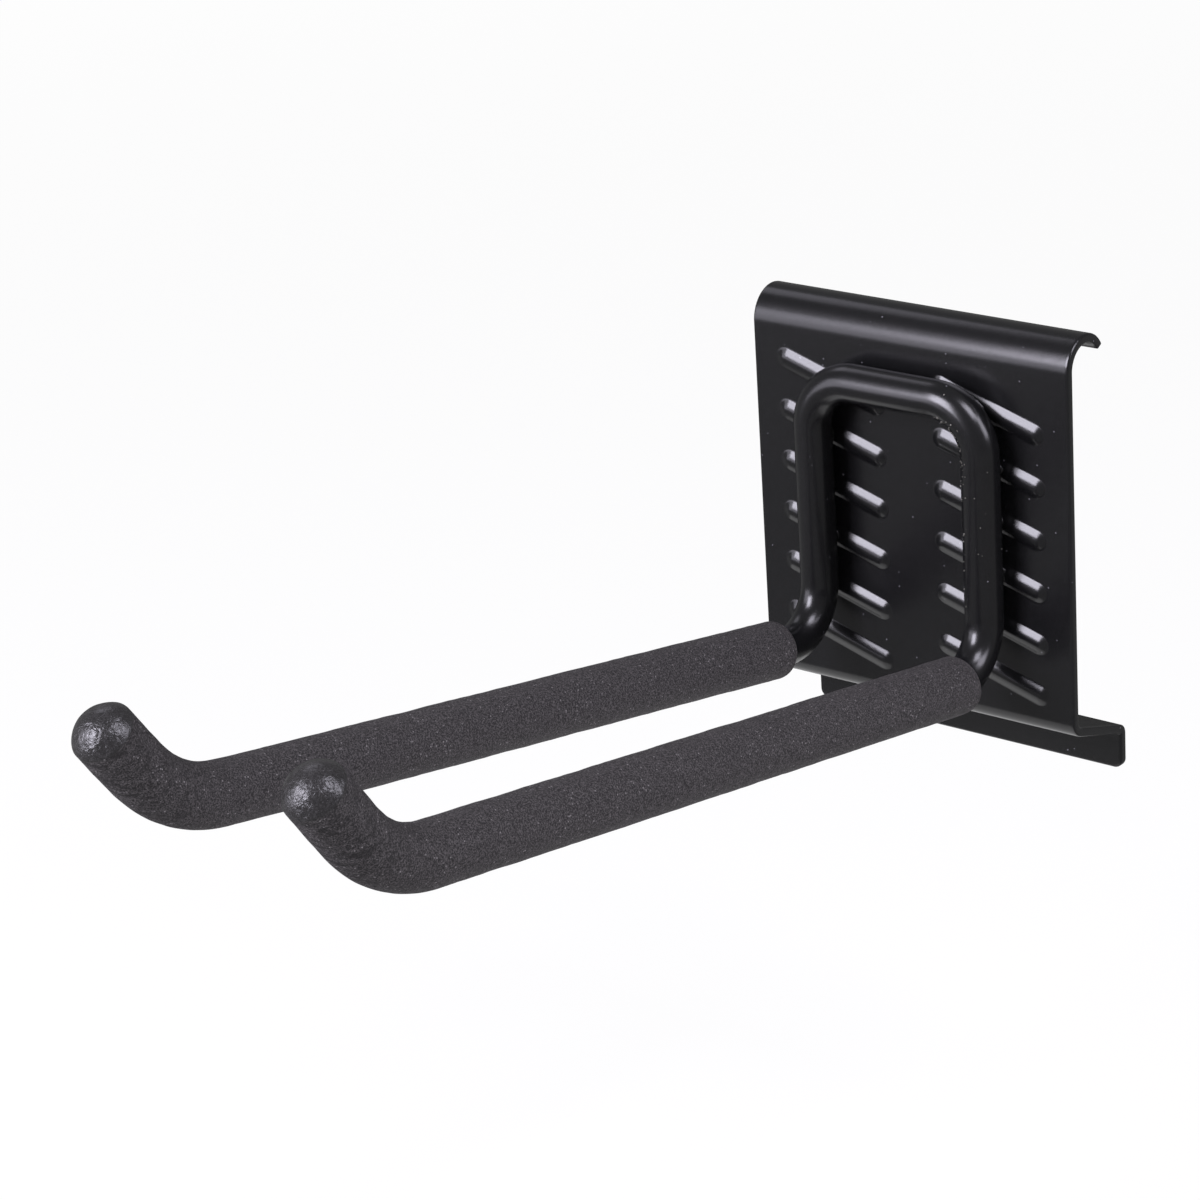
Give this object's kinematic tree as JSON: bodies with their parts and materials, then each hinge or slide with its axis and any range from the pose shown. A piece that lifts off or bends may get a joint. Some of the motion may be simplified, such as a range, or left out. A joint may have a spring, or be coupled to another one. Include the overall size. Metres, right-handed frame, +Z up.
{
  "type": "pegboard hook",
  "caption": "Double-arm utility hook: stamped steel wall plate with rolled top lip and a bent rod whose upturned arms carry foam sleeves.",
  "frame": {"origin": "middle of the lower flange's back face, which rests on the wall panel", "axes": "+Y into the wall, +Z up, +X to the right as seen from in front of the wall; the arms point towards -Y"},
  "size_m": [0.0762, 0.2272, 0.0966],
  "materials": {
    "powder_coat": "semi-gloss black powder coat",
    "foam": "matt charcoal closed-cell foam"
  },
  "bodies": {
    "root": {"back_plate": "powder_coat", "hook_rod": "powder_coat", "foam_sleeve_left": "foam", "foam_sleeve_right": "foam"}
  },
  "joints": []
}
